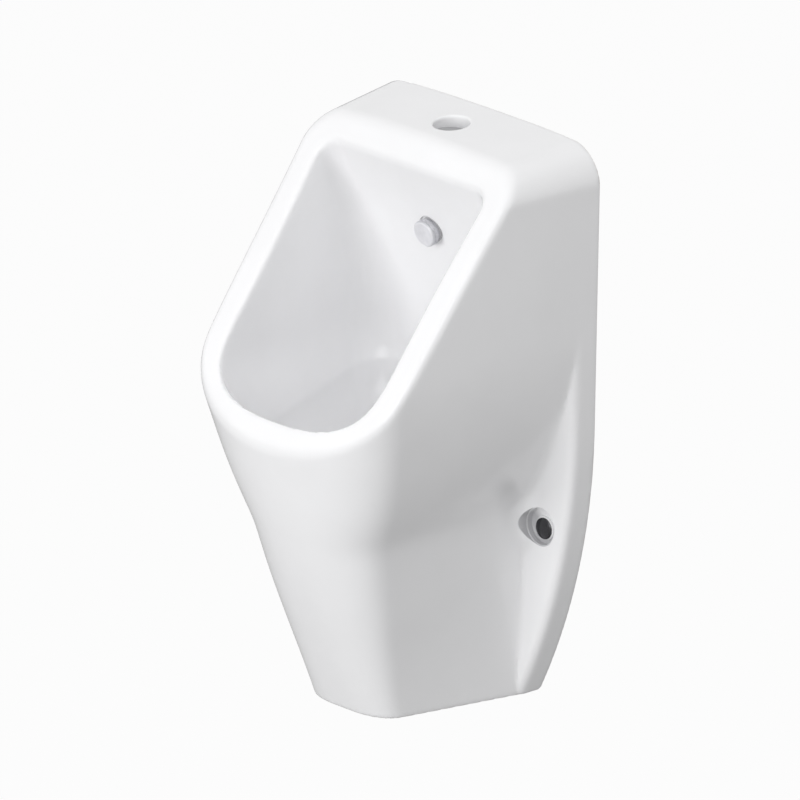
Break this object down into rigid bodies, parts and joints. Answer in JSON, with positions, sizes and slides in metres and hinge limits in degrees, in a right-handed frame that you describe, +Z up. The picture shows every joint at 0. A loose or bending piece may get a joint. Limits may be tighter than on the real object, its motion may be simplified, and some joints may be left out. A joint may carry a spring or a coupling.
{
  "type": "urinal",
  "caption": "Wall-hung ceramic urinal: slanting open bowl with a spray head on its back wall, water inlet on top, bottle trap inside the skirt, side fixings under round caps",
  "frame": {"origin": "on the wall plane, at the middle of the bottom edge of the body's back face", "axes": "X to the right seen from the front, Y into the wall, Z up"},
  "size_m": [0.305, 0.29, 0.5616],
  "materials": {
    "glazed_ceramic": "gloss",
    "satin_chrome": "satin",
    "polished_chrome": "polished",
    "brass": "machined",
    "black_rubber": "matt",
    "grey_rubber": "matt",
    "white_plastic": "satin",
    "zinc_steel": "plated"
  },
  "bodies": {
    "shell": {"skirt_right": "glazed_ceramic", "skirt_left": "glazed_ceramic", "skirt_front": "glazed_ceramic", "flank_right": "glazed_ceramic", "flank_left": "glazed_ceramic", "bowl_back": "glazed_ceramic", "inlet_seal": "grey_rubber", "inlet_tube": "polished_chrome", "inlet_elbow": "brass", "elbow_seal": "black_rubber", "nozzle_stem": "brass", "nozzle_nut": "brass", "nozzle_gasket_rear": "black_rubber", "waste_flange": "polished_chrome", "waste_gasket_upper": "black_rubber", "waste_gasket_lower": "black_rubber", "waste_nut": "brass", "slip_nut": "white_plastic", "cone_washer": "black_rubber", "trap_body": "white_plastic", "dip_tube": "white_plastic", "outlet_nut": "white_plastic", "outlet_seal": "black_rubber", "outlet_pipe": "white_plastic", "wall_seal": "black_rubber", "fixing_sleeves": "white_plastic", "fixing_washers": "zinc_steel", "fixing_nuts": "zinc_steel"},
    "head_gasket": {"nozzle_gasket_front": "grey_rubber"},
    "spray_head": {"nozzle_head": "satin_chrome"},
    "grate": {"strainer": "polished_chrome"},
    "cup_seal": {"trap_cup_seal": "black_rubber"},
    "cup": {"trap_cup": "white_plastic"},
    "cap_right": {"cap_right": "polished_chrome"},
    "cap_left": {"cap_left": "polished_chrome"}
  },
  "joints": [
    {"name": "cap_right_slide", "type": "slide", "parent": "shell", "child": "cap_right", "axis": [0, -1, 0], "range_m": [0, 0.02]},
    {"name": "cap_left_slide", "type": "slide", "parent": "shell", "child": "cap_left", "axis": [0, -1, 0], "range_m": [0, 0.02]},
    {"name": "grate_slide", "type": "slide", "parent": "shell", "child": "grate", "axis": [0, 0, 1], "range_m": [0, 0.11]},
    {"name": "head_slide", "type": "slide", "parent": "shell", "child": "head_gasket", "axis": [0, -0.9703, -0.2419], "range_m": [0, 0.0081]},
    {"name": "head_turn", "type": "hinge", "parent": "head_gasket", "child": "spray_head", "pos_m": [0, -0.07169, 0.456], "axis": [0, -0.9703, -0.2419], "range_deg": [0, 1948]},
    {"name": "cup_slide", "type": "slide", "parent": "shell", "child": "cup_seal", "axis": [0, 0, -1], "range_m": [0, 0.0121]},
    {"name": "cup_turn", "type": "hinge", "parent": "cup_seal", "child": "cup", "pos_m": [0, -0.122, 0.096], "axis": [0, 0, -1], "range_deg": [0, 1094]}
  ],
  "couplings": [
    {"joint": "head_turn", "follows": "head_slide", "rad_per_m": 4188.8},
    {"joint": "cup_turn", "follows": "cup_slide", "rad_per_m": 1570.8}
  ]
}
